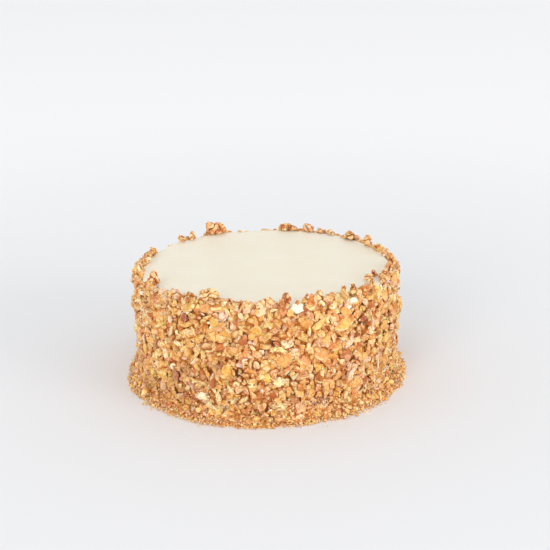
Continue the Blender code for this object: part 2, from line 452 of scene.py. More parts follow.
def core_material(name, low, middle, high):
    """Crushed nut between and under the pieces, with painted shade, a dark maroon, where the mark deep is
    kept at a vertex: in the deep gaps.
    """
    g = Graph(bpy.data.materials.new(name))
    speck = g.noise(1.6 * MM, 4, 0.65)
    colour = g.ramp(speck, (0.32, *low), (0.5, *middle), (0.68, *high))
    # Painted shade: dark maroon in the deep gaps between the pieces.
    colour = g.mix(g.mark("deep"), colour, srgb(82, 32, 16))
    g.bump((speck, 0.5 * MM), (g.noise(0.5 * MM, 2), 0.12 * MM))
    return g.finish(colour, 0.75, Specular_IOR_Level=0.2)


# ---- mesh helpers


def add_object(name, data):
    """A new object in the scene."""
    thing = bpy.data.objects.new(name, data)
    bpy.context.scene.collection.objects.link(thing)
    return thing


def add_piece(name, points, faces, material, node, marks, smooth_below=40):
    """A piece that replaces a CAD node. faces is a list, and marks are values kept at each vertex."""
    mesh = bpy.data.meshes.new(name)
    mesh.from_pydata(points.reshape(-1, 3).tolist(), [], faces)
    mesh.shade_smooth()
    mesh.set_sharp_from_angle(angle=math.radians(smooth_below))
    mesh.materials.append(material)
    for key, values in marks.items():
        layer = mesh.attributes.new(key, "FLOAT", "POINT")
        layer.data.foreach_set("value", np.asarray(values, np.float32).ravel())
    piece = add_object(name, mesh)
    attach(piece, BODY)
    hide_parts(node)


def repeated_faces(faces, count, size):
    """The faces of count pieces in a row, each with this size in points."""
    return (faces[None] + (np.arange(count) * size)[:, None, None]).reshape(-1, 3).tolist()


def grid_faces(columns, rows, closed_rows):
    """Quads of a grid whose columns close round a ring, and whose rows may close as well."""
    steps = rows if closed_rows else rows - 1
    column, row = np.meshgrid(np.arange(columns), np.arange(steps), indexing="ij")
    here, there = column * rows, (column + 1) % columns * rows
    up = (row + 1) % rows
    return np.stack([here + row, there + row, there + up, here + up], -1).reshape(-1, 4).tolist()


def sine_noise(points, seed, cell, waves=14):
    """Smooth noise of about -1..1, from random waves whose length is near one cell."""
    rng = np.random.default_rng(seed)
    total = np.zeros(points.shape[:-1])
    for _ in range(waves):
        direction = rng.normal(size=3)
        direction *= TURN / cell * rng.uniform(0.6, 1.4) / np.linalg.norm(direction)
        total += np.sin(points @ direction + rng.uniform(0, TURN))
    return total / math.sqrt(waves)


def geodesic(frequency):
    """Directions and triangles of an icosahedron with each edge split into frequency parts."""
    bm = bmesh.new()
    bmesh.ops.create_icosphere(bm, subdivisions=1, radius=1)
    if frequency > 1:
        bmesh.ops.subdivide_edges(bm, edges=bm.edges[:], cuts=frequency - 1, use_grid_fill=True)
    bmesh.ops.triangulate(bm, faces=bm.faces[:])
    directions = np.array([v.co.normalized() for v in bm.verts])
    faces = np.array([[v.index for v in f.verts] for f in bm.faces])
    bm.free()
    return directions, faces


# ---- forms of nut pieces


def on_sphere(rng, shape):
    """Random directions."""
    vectors = rng.normal(size=(*shape, 3))
    return vectors / np.linalg.norm(vectors, axis=-1, keepdims=True)


def fold_height(rng, points, cell, waves=9):
    """Height from 0 to 1 of round winding folds about one cell wide, with narrow valleys.

    points is (count, V, 3), and each of the pieces gets folds of its own.
    """
    count = len(points)
    push = on_sphere(rng, (count, waves)) * math.pi / cell * rng.uniform(0.6, 1.3, (count, waves, 1))
    phase = rng.uniform(0, TURN, (count, 1, waves))
    noise = np.sin(np.einsum("pvi,pwi->pvw", points, push) + phase).sum(-1) / math.sqrt(waves / 2)
    return np.minimum(np.abs(noise) / 0.9, 1) ** 0.6


def kernels(rng, count, frequency, lobes, spread, bulge, breaks, depth, cut_z=(-1, 1), fold=0.2, bend=0.0):
    """Broken pieces of kernel, each in a unit box: folded round lobes, cut by flat breaks.

    cut_z is the range of the upward part of a break's direction. Returns points (count, V, 3),
    faces, and marks: skin where the lobes are whole, rim along the edge of a break, and furrow
    in the valleys between folds.
    """
    directions, faces = geodesic(frequency)
    centres = on_sphere(rng, (count, lobes)) * rng.uniform(*spread, (count, lobes, 1))
    distance = np.linalg.norm(centres, axis=-1)
    radii = distance + rng.uniform(*bulge, (count, lobes))
    along = np.einsum("pli,vi->plv", centres, directions)
    lobe = (along + np.sqrt(along**2 + (radii**2 - distance**2)[..., None])).max(axis=1)
    height = fold_height(rng, np.repeat(directions[None], count, 0), 0.75)
    lobe = lobe * (1 - fold * (1 - height))
    upward = rng.uniform(*cut_z, (count, breaks))
    around = rng.uniform(0, TURN, (count, breaks))
    level = np.sqrt(1 - upward**2)
    facing = np.stack([level * np.cos(around), level * np.sin(around), upward], -1) @ directions.T
    cut = (rng.uniform(*depth, (count, breaks, 1)) / np.maximum(facing, 0.02)).min(axis=1)
    radius = np.minimum(lobe, cut)
    points = directions * radius[..., None]
    droop = points[..., 0] ** 2 + 0.4 * points[..., 1] ** 2
    points[..., 2] -= bend * rng.uniform(0.5, 1, (count, 1)) * droop
    low, high = points.min(axis=1, keepdims=True), points.max(axis=1, keepdims=True)
    points = (points - (low + high) / 2) / (high - low)
    edge = (cut - lobe) / radius.mean(axis=1, keepdims=True)
    skin = smooth_step(edge / 0.2 + 0.5)
    rim = np.exp(-((edge / 0.16) ** 2))
    return points, faces, {"skin": skin, "rim": rim, "furrow": (1 - height) ** 1.5 * skin}


def curls(rng, count):
    """Thin pieces bent into a C, in a unit box, with skin on the outside of the bend."""
    steps, sides, each = 15, 8, (count, 1, 1)
    bend = np.linspace(0, 1, steps)[:, None]
    taper = np.sqrt(np.clip(1 - (2 * bend - 1) ** 6, 0.04, 1))
    side = np.arange(sides) * TURN / sides
    angle = np.radians(rng.uniform(170, 290, each)) * bend
    middle = 0.31 * (1 + rng.uniform(-0.12, 0.12, each) * np.sin(2.2 * TURN * bend))
    radius = middle + rng.uniform(0.19, 0.24, each) * taper * np.cos(side)
    height = rng.uniform(0.2, 0.3, each) * taper * np.sin(side)
    tube = np.stack([radius * np.cos(angle), radius * np.sin(angle), height], -1).reshape(count, -1, 3)
    ends = np.stack([tube[:, :sides].mean(1), tube[:, -sides:].mean(1)], 1)
    points = np.concatenate([tube, ends], 1)
    faces = []
    for step in range(steps - 1):
        for a in range(sides):
            b = (a + 1) % sides
            here, there = step * sides, (step + 1) * sides
            faces += [(here + a, there + a, there + b), (here + a, there + b, here + b)]
    first, last = steps * sides, steps * sides + 1
    for a in range(sides):
        b = (a + 1) % sides
        faces += [(first, a, b), (last, (steps - 1) * sides + b, (steps - 1) * sides + a)]
    outer = np.concatenate([np.tile(np.clip(np.cos(side), 0, 1), steps), [0, 0]])
    marks = {
        "skin": np.tile(outer, (count, 1)),
        "rim": np.tile(1 - outer, (count, 1)) * 0.8,
        "furrow": np.zeros((count, len(outer))),
    }
    return points, np.array(faces), marks


# ---- placing pieces


def rotations(rng, normals, tilt, slant=None):
    """Turns each piece's own z towards its normal, tilted by up to tilt.

    Its own x climbs to the right at its slant, or points at random.
    """
    count = len(normals)
    tiny = 1e-6
    side = np.cross(UP, normals)
    length = np.linalg.norm(side, axis=1, keepdims=True)
    side = np.where(length > tiny, side / np.maximum(length, tiny), (1.0, 0.0, 0.0))
    seat = np.stack([side, np.cross(normals, side), normals], axis=-1)
    lean = tilt * np.sqrt(rng.uniform(0, 1, count))
    toward = rng.uniform(0, TURN, count)
    spin = rng.uniform(0, TURN, count) if slant is None else slant - toward
    turned = about(2, toward) @ about(0, lean) @ about(2, spin)
    return seat @ turned


def about(axis, angle):
    """Rotation matrices about one axis."""
    cos, sin = np.cos(angle), np.sin(angle)
    matrix = np.zeros((len(angle), 3, 3))
    a, b = (axis + 1) % 3, (axis + 2) % 3
    matrix[:, axis, axis] = 1
    matrix[:, a, a] = matrix[:, b, b] = cos
    matrix[:, a, b], matrix[:, b, a] = -sin, sin
    return matrix


def occupy(taken, spots):
    """Notes pieces, each (along, up, size), under their cells."""
    for along, up, size in spots:
        cell = int(along / CELL) % int(GIRTH / CELL), int(up / CELL)
        taken.setdefault(cell, []).append((along, up, size))


def is_clear(taken, along, up, size, spacing):
    """Whether no other piece is nearer than spacing times the mean size of the two."""
    columns = int(GIRTH / CELL)
    column, row = int(along / CELL), int(up / CELL)
    for c in (column - 1, column, column + 1):
        for r in (row - 1, row, row + 1):
            for other_along, other_up, other_size in taken.get((c % columns, r), ()):
                gap = abs(along - other_along)
                gap = min(gap, GIRTH - gap)
                if gap * gap + (up - other_up) ** 2 < (spacing * (size + other_size) / 2) ** 2:
                    return False
    return True


def scatter(darts, sizes, drop, spacing, taken, tries=14):
    """Spots (along, up, size) for pieces of these sizes, thrown like darts, the largest first.

    along runs round the side, and up from its foot to drop below the highest spot that a nut
    takes. taken holds the pieces that are there already, by cell.
    """
    low = 1.5 * MM
    spots = []
    for size in sorted(sizes, reverse=True):
        for _ in range(tries):
            along, share = darts.random() * GIRTH, darts.random()
            high = float(crest(along / WALL_TOP)) + 2 * MM - drop
            up = low + (high - low) * share
            if is_clear(taken, along, up, size, spacing):
                spots.append((along, up, size))
                occupy(taken, spots[-1:])
                break
    return np.array(spots)


def lay(rng, spots, form, shape, tilt, stand, site_at, slant=None):
    """Places unit forms on the cake, none of them below the ground.

    shape gives the range of width and thickness as shares of the size. stand is how far each
    piece's outermost point stands out of the surface that site_at gives, or a function that
    draws as many of these as it is told.
    """
    points, faces, marks = form
    count = len(spots)
    azimuth, z, size = spots[:, 0] / WALL_TOP, spots[:, 1], spots[:, 2]
    scale = np.stack([size, size * rng.uniform(*shape[0], count), size * rng.uniform(*shape[1], count)], -1)
    surface, normals = site_at(azimuth, z)
    turned = rotations(rng, normals, tilt, slant) * scale[:, None, :]
    placed = np.einsum("pij,pvj->pvi", turned, points)
    out = np.einsum("pvi,pi->pv", placed, normals).max(axis=1)
    apart = (stand(count) if callable(stand) else stand) - out
    placed += (normals * apart[:, None])[:, None, :]
    depth = -np.einsum("pvi,pi->pv", placed, normals)
    placed += surface[:, None, :]
    lowest = placed[..., 2].min(axis=1)
    placed[..., 2] += np.maximum(0.05 * MM - lowest, 0)[:, None]
    # The depth below the surface is kept for painted shade on pieces that lie deep in the heap.
    return placed, faces, {**marks, "sunk": smooth_step((depth - 1.4 * MM) / (4 * MM))}


def wall_site(azimuth, z):
    """Points and outward normals of the nuts' mean surface, which rounds over at the crest."""
    round_over = 4.5 * MM
    below = crest(azimuth) - round_over
    lean = np.clip((z - below) / round_over, 0, 1.6) * math.radians(56)
    radius = wall_radius(np.minimum(z, below)) - round_over * (1 - np.cos(lean))
    return site(azimuth, radius, np.minimum(z, below) + round_over * np.sin(lean), lean)


def face_site(azimuth, z):
    """Points and outward normals on the side, which stays nearly upright past the crest."""
    over = smooth_step((z - 84 * MM) / (12 * MM))
    return site(azimuth, wall_radius(z) - 2.5 * MM * over, z, 0.35 * over)


def bank_site(azimuth, radius):
    """Points and normals on the crumb bank's slope, or on the ground beyond it."""
    packed = radius < packed_radius(azimuth)
    height = np.where(packed, bank_height(azimuth, radius), 0)
    return site(azimuth, radius, height, math.pi / 2 - np.where(packed, 0.35, 0))


def crest_site(azimuth, radius):
    """Points and upward normals on the rim, where the nuts lie over the frosting's edge."""
    lean = 0.9 * smooth_step((radius - 103 * MM) / (7 * MM))
    return site(azimuth, radius, crest(azimuth), math.pi / 2 - lean)


def top_site(azimuth, radius):
    """Points and upward normals on the frosting's flat top."""
    height = np.full_like(radius, CAKE_TOP - 0.2 * MM)
    return site(azimuth, radius, height, np.full_like(radius, math.pi / 2))


def columns_of(table):
    """The columns of a table of numbers."""
    return [np.array(column, float) for column in zip(*table)]


def spots_at(azimuth, second, size):
    """Spots from azimuths in degrees, heights or radii in mm and sizes in mm."""
    return np.stack([np.radians(azimuth) * WALL_TOP, second * MM, size * MM], -1)


def join(
    name, laid, tones, skin_tones, material, rng,
    node="nut_coat", smooth_below=40, folded=1.0, tint=(0.88, 1.08), keys=(0, 1),
):
    """Joins the laid pieces of one kind into one mesh that replaces a CAD node."""
    points, faces, marks = laid
    count, size = points.shape[:2]
    own = dict(
        tone=tones(count),
        skin_tone=skin_tones(count),
        tint=rng.uniform(*tint, count),
        key=rng.uniform(*keys, count),
        folded=folded * rng.uniform(0.6, 1, count),
    )
    values = {**marks, **{key: np.repeat(value, size) for key, value in own.items()}}
    all_faces = repeated_faces(faces, count, size)
    add_piece(name, points, all_faces, material, node, values, smooth_below)


# ---- pieces of the cake


def make_smears(material):
    """Small lumps of frosting pressed out between the nuts below the rim."""
    rng = np.random.default_rng(53)
    azimuth, height, width, thick = columns_of(SMEARS)
    directions, faces = geodesic(6)
    apart = 7.0 * np.arange(len(azimuth))[:, None, None]
    lump = 1 + 0.16 * sine_noise(directions[None] + apart, 54, 1.1, 10)
    form = directions[None] * lump[..., None] / 2, faces, {}
    share = thick / width
    shape = (0.5, 0.75), (0.9 * share, 1.1 * share)
    spots, level = spots_at(azimuth, height, width), np.zeros(len(azimuth))
    points = lay(rng, spots, form, shape, 0.3, 1 * MM, face_site, level)[0]
    all_faces = repeated_faces(faces, *points.shape[:2])
    add_piece("frosting_smears", points, all_faces, material, "frosted_cake", {}, 60)


def frosting_section():
    """Radius, height and share of the edge's unevenness, from the foot up and in over the top."""
    flat = CAKE_RADIUS - SHOULDER
    below = CAKE_TOP - SHOULDER
    wall = [(CAKE_RADIUS, z, 0.3) for z in np.linspace(0, below, 12)]
    leans = np.radians(np.linspace(9, 90, 10))
    edge = [(flat + SHOULDER * math.cos(a), below + SHOULDER * math.sin(a), 1.0) for a in leans]
    top = [(flat * share, CAKE_TOP, share) for share in np.linspace(0.97, 0.02, 22)]
    return columns_of(wall + edge + top)


def ring_points(azimuth, radius, z):
    """Points of a grid with one column at each azimuth."""
    return np.stack([radius * np.cos(azimuth)[:, None], radius * np.sin(azimuth)[:, None], z], -1)


def make_frosting(material):
    """The smooth frosted cake, with faint spreading marks and a soft, slightly uneven edge."""
    columns = 200
    azimuth = np.arange(columns) * TURN / columns
    radii, heights, drift = frosting_section()
    rows = len(radii)
    uneven = 0.6 * MM
    wobble = uneven * sine_noise(outward(azimuth), 3, 0.35, 10)
    near_edge = radii > (CAKE_RADIUS - SHOULDER) * 0.9
    radius = radii + (wobble[:, None] - uneven) * drift * near_edge
    points = ring_points(azimuth, radius, np.repeat(heights[None], columns, 0))
    wide_strokes = 0.5 * sine_noise(points * (1, 2.4, 1), 11, 60 * MM, 10)
    strokes = wide_strokes + 0.3 * sine_noise(points, 12, 22 * MM, 12)
    points[..., 2] += 0.22 * MM * (strokes - 1.6) * (heights > CAKE_TOP - 0.2 * MM)
    foot, middle = [range(at, columns * rows, rows) for at in (0, rows - 1)]
    faces = [*grid_faces(columns, rows, False), [*reversed(foot)], [*middle]]
    add_piece("frosting_body", points, faces, material, "frosted_cake", {}, 50)


def make_ring_core(name, section_at, columns, material, node, relief, cell, seed):
    """A closed ring with gritty relief. section_at(azimuth) gives (radius, z, relief share) rows."""
    azimuth = np.arange(columns) * TURN / columns
    radius, z, share = section_at(azimuth)
    points = ring_points(azimuth, radius, z)
    bumps = sine_noise(points, seed, cell) + 0.6 * sine_noise(points, seed + 1, cell * 0.55)
    out = outward(azimuth)[:, None]
    points += out * (relief * bumps * share)[..., None]
    points[..., 2] += relief * 0.6 * np.abs(bumps) * share * (z > 0.1 * MM)
    marks = {}
    if node == "nut_coat":
        # In the deep gaps the core is pushed in, and darkened there with painted shade.
        marks["deep"] = gap_share(points) * share
        points -= out * (GAP_DEPTH * marks["deep"])[..., None]
    faces = grid_faces(columns, radius.shape[1], True)
    add_piece(name, points, faces, material, node, marks)


def coat_core_section(azimuth):
    """The crushed nut under the coat, from its foot up and over to the frosting."""
    top = crest(azimuth)[:, None] - 3.2 * MM
    z = top * np.linspace(0, 1, 38)
    whole, none = np.ones_like(top), np.zeros_like(top)
    inner = whole * (CAKE_RADIUS - 1.5 * MM)
    lip = ((107.0, 0.9), (105.6, 1.2), (104.6, 0.6))  # radius and rise in mm
    radii = [wall_radius(z) - 3.4 * MM, *[whole * radius * MM for radius, _ in lip], inner, inner]
    heights = [z, *[top + rise * MM for _, rise in lip], top - 2 * MM, none]
    grit = [np.ones_like(z), whole, whole, whole, none, none]
    grit[0][:, 0] = 0
    return (np.concatenate(rows, 1) for rows in (radii, heights, grit))


def bank_core_section(azimuth):
    """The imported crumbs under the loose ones, from the toe up to the coat."""
    toe = (packed_radius(azimuth) + 1.3 * MM * sine_noise(outward(azimuth), 5, 0.1))[:, None]
    none = np.zeros_like(toe)
    inner = WALL_FOOT - 3 * MM
    radius = toe + (inner - toe) * np.linspace(0, 1, 26)
    z = bank_height(azimuth[:, None], radius) - 0.5 * MM
    rows = (radius, none + inner, toe), (z, none, none), (np.ones_like(z), none, none)
    return (np.concatenate(each, 1) for each in rows)


# Kinds of nut pieces on the side: the share of all pieces, form, width and thickness as shares
# of the length, tilt in degrees, how far out they stand in mm, tones and the large ones' fineness.
SIDE_KINDS = {
    "nut_flakes": dict(
        share=0.14,
        form=dict(lobes=2, spread=(0.1, 0.4), bulge=(0.4, 0.6), breaks=5, depth=(0.42, 0.62),
                  cut_z=(-0.5, 0.1), fold=0.05, bend=0.15),
        shape=((0.7, 1.0), (0.26, 0.42)), tilt=32, out=(0.0, 1.1),
        tone=(0.6, 0.2), brown=0.10, folded=0.5, fine=3,
    ),
    "nut_chunks": dict(
        share=0.46,
        form=dict(lobes=5, spread=(0.3, 0.6), bulge=(0.2, 0.42), breaks=4, depth=(0.3, 0.55), fold=0.3),
        shape=((0.5, 0.9), (0.45, 0.75)), tilt=80, out=(0.2, 1.2),
        tone=(0.55, 0.26), brown=0.24, folded=1.0, fine=4,
    ),
    "nut_shells": dict(
        share=0.34,
        form=dict(lobes=4, spread=(0.35, 0.65), bulge=(0.18, 0.34), breaks=4, depth=(0.34, 0.55),
                  cut_z=(-0.9, 0.5), fold=0.3, bend=0.7),
        shape=((0.45, 0.8), (0.35, 0.6)), tilt=65, out=(0.3, 1.2),
        tone=(0.6, 0.24), brown=0.34, folded=1.0, fine=4,
    ),
    "nut_slivers": dict(
        share=0.06,
        form=dict(lobes=2, spread=(0.2, 0.5), bulge=(0.2, 0.4), breaks=5, depth=(0.25, 0.5), bend=0.8),
        shape=((0.3, 0.45), (0.28, 0.4)), tilt=50, out=(0.5, 0.6),
        tone=(0.7, 0.2), brown=0.3, folded=0.5, fine=3,
    ),
}


def bell(rng, middle, spread):
    """A function that draws values round a middle."""
    return lambda count: np.clip(rng.normal(middle, spread, count), 0, 1)


def skin_tones(rng, brown):
    """A function that draws skin tones: golden ones, and a share that is orange to red brown."""

    def draw(count):
        golden = np.clip(rng.normal(0.3, 0.16, count), 0, 0.6)
        return np.where(rng.uniform(size=count) < brown, rng.uniform(0.64, 0.98, count), golden)

    return draw


def standing(rng, middle, spread, ragged=False):
    """A function that draws how far out pieces stand, from mm. Ragged sets a few further out."""

    def draw(count):
        out = rng.normal(middle, spread, count)
        if ragged:
            out += np.where(rng.uniform(size=count) < 0.06, rng.uniform(0.8, 2.6, count), 0)
        return out * MM

    return draw


def uneven_sizes(rng, count, middle, spread, low, high):
    """Sizes round a middle, in mm, with more small ones than large."""
    return np.clip(np.exp(rng.normal(math.log(middle), spread, count)), low, high) * MM


def pile(rng, name, spots, form, shape, tilt, stand, tone, brown, material, site_at=wall_site, **look):
    """Lays one kind of nut pieces, at up to tilt degrees from flat, and joins them."""
    laid = lay(rng, spots, form, shape, math.radians(tilt), stand, site_at)
    join(name, laid, bell(rng, *tone), skin_tones(rng, brown), material, rng, **look)


def make_underlayer(rng, darts, gaps, material):
    """Nuts that fill the coat between and behind the others."""
    taken = {}
    occupy(taken, gaps)
    sizes = rng.uniform(7.5, 9.5, UNDER_NUTS) * MM
    spots = scatter(darts, sizes, 3 * MM, 0.72, taken)
    form = kernels(rng, len(spots), 2, lobes=4, breaks=4, **CHIP)
    packed = 0.8 * np.abs(np.cos(spots[:, 0] / WALL_TOP)) - 0.6 * (spots[:, 1] < 25 * MM)

    def stand(count):
        return (packed - rng.normal(1.8, 0.5, count)) * MM

    shape = (0.65, 1), (0.5, 0.8)
    pile(rng, "nut_underlayer", spots, form, shape, 60, stand, (0.5, 0.25), 0.2, material)


def make_kinds(rng, spots, material):
    """The chopped nuts of each kind, with the large ones of a kind in a mesh of their own."""
    start = 0
    for name, kind in SIDE_KINDS.items():
        end = start + int(len(spots) * kind["share"])
        mine = spots[start:end]
        start = end
        large = mine[:, 2] >= LARGE_PIECE
        for mesh, part, fine in ((name, mine[~large], 3), (name + "_large", mine[large], kind["fine"])):
            form = kernels(rng, len(part), fine, **kind["form"])
            stand = standing(rng, *kind["out"], ragged=True)
            pile(rng, mesh, part, form, kind["shape"], kind["tilt"], stand,
                 kind["tone"], kind["brown"], material, folded=kind["folded"])


def make_curls(rng, darts, material):
    """Curled pieces, the first of them at the photo's places."""
    sizes = np.clip(rng.normal(6.0, 0.9, CURLS), 4, 8) * MM
    spots = scatter(darts, sizes, 0, 0, {})
    spots[: len(FACE_CURLS), :2] = [(math.radians(a) * WALL_TOP, z * MM) for a, z in FACE_CURLS]
    form = curls(rng, len(spots))
    stand = standing(rng, 1.2, 0.4)
    shape = (1, 1), (1, 1)
    pile(rng, "nut_curls", spots, form, shape, 35, stand, (0.8, 0.12), 0.4, material, folded=0.2)


def make_side_bits(rng, darts, taken, material):
    """Small bits in the gaps that the chopped nuts leave."""
    spots = scatter(darts, rng.uniform(2.8, 5.0, SIDE_BITS) * MM, 0, 0.5, taken, 24)
    form = kernels(rng, len(spots), 2, **{**GRAIN, "spread": (0.2, 0.5)})
    stand = standing(rng, -0.3, 0.7)
    shape = (0.6, 1), (0.5, 0.9)
    pile(rng, "nut_bits", spots, form, shape, 180, stand, (0.5, 0.24), 0.25, material)


def make_foot_grains(rng, material):
    """Grains that cling to the coat low down, where the bank meets it."""
    up = 3 * MM + 24 * MM * rng.beta(1, 2.2, FOOT_GRAINS)
    size = uneven_sizes(rng, FOOT_GRAINS, 1.5, 0.35, 0.9, 3.2)
    spots = np.stack([rng.uniform(0, GIRTH, FOOT_GRAINS), up, size], -1)
    form = kernels(rng, FOOT_GRAINS, 1, **GRAIN)
    stand = standing(rng, 0.5, 0.9)
    shape = (0.65, 1), (0.5, 0.85)
    pile(rng, "nut_foot_crumbs", spots, form, shape, 180, stand, (0.55, 0.28), 0.12, material,
         smooth_below=25)


def make_side_nuts(material):
    """The coat of chopped nuts, which leaves room for the smears, the gaps and the large pieces."""
    rng = np.random.default_rng(21)
    darts = random.Random(4)
    sizes = uneven_sizes(rng, SIDE_NUTS, 7.6, 0.33, 4.0, 14.5)
    taken = {}
    azimuth, height, width, _ = columns_of(SMEARS)
    occupy(taken, spots_at(azimuth, height, 0.9 * width))
    azimuth, height, width = columns_of(deep_gaps())
    gaps = spots_at(azimuth, height, 1.3 * width)
    occupy(taken, gaps)
    azimuth, height, length, width, *_ = columns_of(FACE_WALNUTS)
    occupy(taken, spots_at(azimuth, height, 0.6 * (length + width)))
    spots = scatter(darts, sizes, 0, 0.56, taken, 24)
    spots = spots[rng.permutation(len(spots))]
    make_underlayer(rng, darts, gaps, material)
    make_kinds(rng, spots, material)
    make_curls(rng, darts, material)
    make_side_bits(rng, darts, taken, material)
    make_foot_grains(rng, material)


def make_face_walnuts(material):
    """The large pieces on the side, each flat against it at its own slant."""
    rng = np.random.default_rng(61)
    azimuth, height, length, width, slant, skin_tone, tone = columns_of(FACE_WALNUTS)
    form = kernels(rng, len(azimuth), 6, **LARGE_NUT)
    share = width / length
    shape = (0.95 * share, 1.05 * share), (0.6 * share, 0.8 * share)

    def stand(count):
        return rng.uniform(1.2, 2.2, count) * MM

    spots = spots_at(azimuth, height, length)
    laid = lay(rng, spots, form, shape, math.radians(14), stand, face_site, np.radians(slant))
    marks = laid[2]
    # Less painted shade from depth here, and darker furrows: partly skin colour, partly painted shade.
    marks["sunk"] *= 0.3
    marks["skin"] *= smooth_step((1.05 - tone) / 0.35)[:, None]
    marks["furrow"] = np.clip(1.5 * marks["furrow"], 0, 1.2)
    look = dict(smooth_below=50, tint=(0.97, 1.06), keys=(0.1, 0.55))
    join("nut_kernels", laid, lambda count: tone, lambda count: skin_tone, material, rng, **look)


def rim_walnut_names():
    """The CAD nodes of the rim's walnuts, in order."""
    return sorted(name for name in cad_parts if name.startswith("rim_walnut_"))


def nuts_beside(rng, name):
    """Azimuth, radius, size and rise of the nuts against a rim walnut: none at the back."""
    low, high = (np.array(corner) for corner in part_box(name))
    middle, reach = (low + high) / 2, np.hypot(*(high - low)[:2]) / 2
    at, out = math.atan2(middle[1], middle[0]) % TURN, math.hypot(middle[0], middle[1])
    if math.sin(at) > 0.6 or out < 98 * MM:
        return np.empty((0, 4))
    count = 3 + int(reach / (3 * MM))
    around = rng.uniform(0, TURN, count)
    spread = 0.62 * reach
    azimuth = at + spread * np.cos(around) / out
    radius = np.clip(out + spread * np.sin(around), 101.5 * MM, 109 * MM)
    size = rng.uniform(3.4, 6.2, count) * MM
    return np.stack([azimuth, radius, size, rng.uniform(0.8, 3.4, count) * MM], -1)


def make_crest_nuts(material):
    """Nuts heaped along the rim, and most against the rim walnuts.

    They lie over the frosting's edge at the front, and below it behind.
    """
    rng = np.random.default_rng(41)
    azimuth = rng.uniform(0, TURN, CREST_NUTS)
    front = smooth_step(0.75 - 0.75 * np.sin(azimuth))
    inner = (106.4 - 2.8 * front) * MM
    radius = inner + (109 * MM - inner) * rng.uniform(0, 1, CREST_NUTS)
    size = np.clip(rng.normal(6.4, 1.6, CREST_NUTS), 3.6, 10.5) * MM
    rise = (0.3 + 1.5 * front + rng.normal(0, 1.2, CREST_NUTS)) * MM
    keep = bare_depth(azimuth) < rng.uniform(1, 4, CREST_NUTS) * MM
    loose = np.stack([azimuth, radius, size, rise], -1)[keep]
    heap = np.concatenate([loose, *[nuts_beside(rng, name) for name in rim_walnut_names()]])
    spots = heap[:, :3] * (WALL_TOP, 1, 1)
    form = kernels(rng, len(spots), 3, lobes=5, breaks=4, fold=0.3, **CHIP)
    shape = (0.6, 0.95), (0.45, 0.75)
    pile(rng, "nut_crest", spots, form, shape, 75, heap[:, 3], (0.6, 0.24), 0.3, material, crest_site)


def make_top_bits(material):
    """The few loose bits that lie on the frosting, just inside its edge."""
    rng = np.random.default_rng(43)
    azimuth, radius, size, rise = columns_of(TOP_BITS)
    spots = spots_at(azimuth, radius, size)
    form = kernels(rng, len(spots), 3, lobes=5, breaks=3, **CHIP)
    shape = (0.5, 0.8), (0.4, 0.7)
    pile(rng, "nut_top_bits", spots, form, shape, 40, rise * MM, (0.6, 0.24), 0.3, material, top_site)


def grain_spots(rng):
    """Spots for the bank's grains, some of them strayed past its toe, all inside the CAD box."""
    azimuth = rng.uniform(0, TURN, BANK_GRAINS)
    toe = toe_radius(azimuth)
    radius = WALL_FOOT + 1 * MM + (toe - WALL_FOOT) * rng.beta(1.15, 1.45, BANK_GRAINS)
    stray = rng.uniform(size=BANK_GRAINS) < 0.09
    radius = np.where(stray, toe + rng.exponential(1.6 * MM, BANK_GRAINS) - 1.5 * MM, radius)
    size = uneven_sizes(rng, BANK_GRAINS, 1.25, 0.4, 0.8, 3.6)
    reach = (radius + 0.7 * size)[:, None] * np.abs(outward(azimuth)[:, :2])
    half = np.minimum(-np.array(CAD_BOX[0]), CAD_BOX[1])[:2]
    inside = (reach < half).all(axis=1)
    return np.stack([azimuth * WALL_TOP, radius, size], -1)[inside]


def make_bank_crumbs(material):
    """The loose crumbs of the bank and the larger bits of nut among them."""
    rng = np.random.default_rng(31)
    grains = grain_spots(rng)
    azimuth = rng.uniform(0, TURN, BANK_NUTS)
    radius = WALL_FOOT + 10 * MM * rng.beta(1.0, 2.4, BANK_NUTS)
    size = np.clip(rng.normal(4.8, 1.5, BANK_NUTS), 2.6, 9) * MM
    nuts = np.stack([azimuth * WALL_TOP, radius, size], -1)
    fine = grains[:, 2] < 2.6 * MM
    for name, spots, frequency, tilt in (
        ("crumb_grains", grains[fine], 1, 180),
        ("crumb_bits", grains[~fine], 2, 180),
        ("crumb_nuts", nuts, 2, 60),
    ):
        def stand(count, size=spots[:, 2]):
            return size * rng.uniform(0.4, 0.95, count)

        form = kernels(rng, len(spots), frequency, **GRAIN)
        shape = (0.65, 1), (0.5, 0.85)
        pile(rng, name, spots, form, shape, tilt, stand, (0.55, 0.36), 0.2, material, bank_site,
             node="crumb_bank", smooth_below=25, tint=(0.94, 1.2))


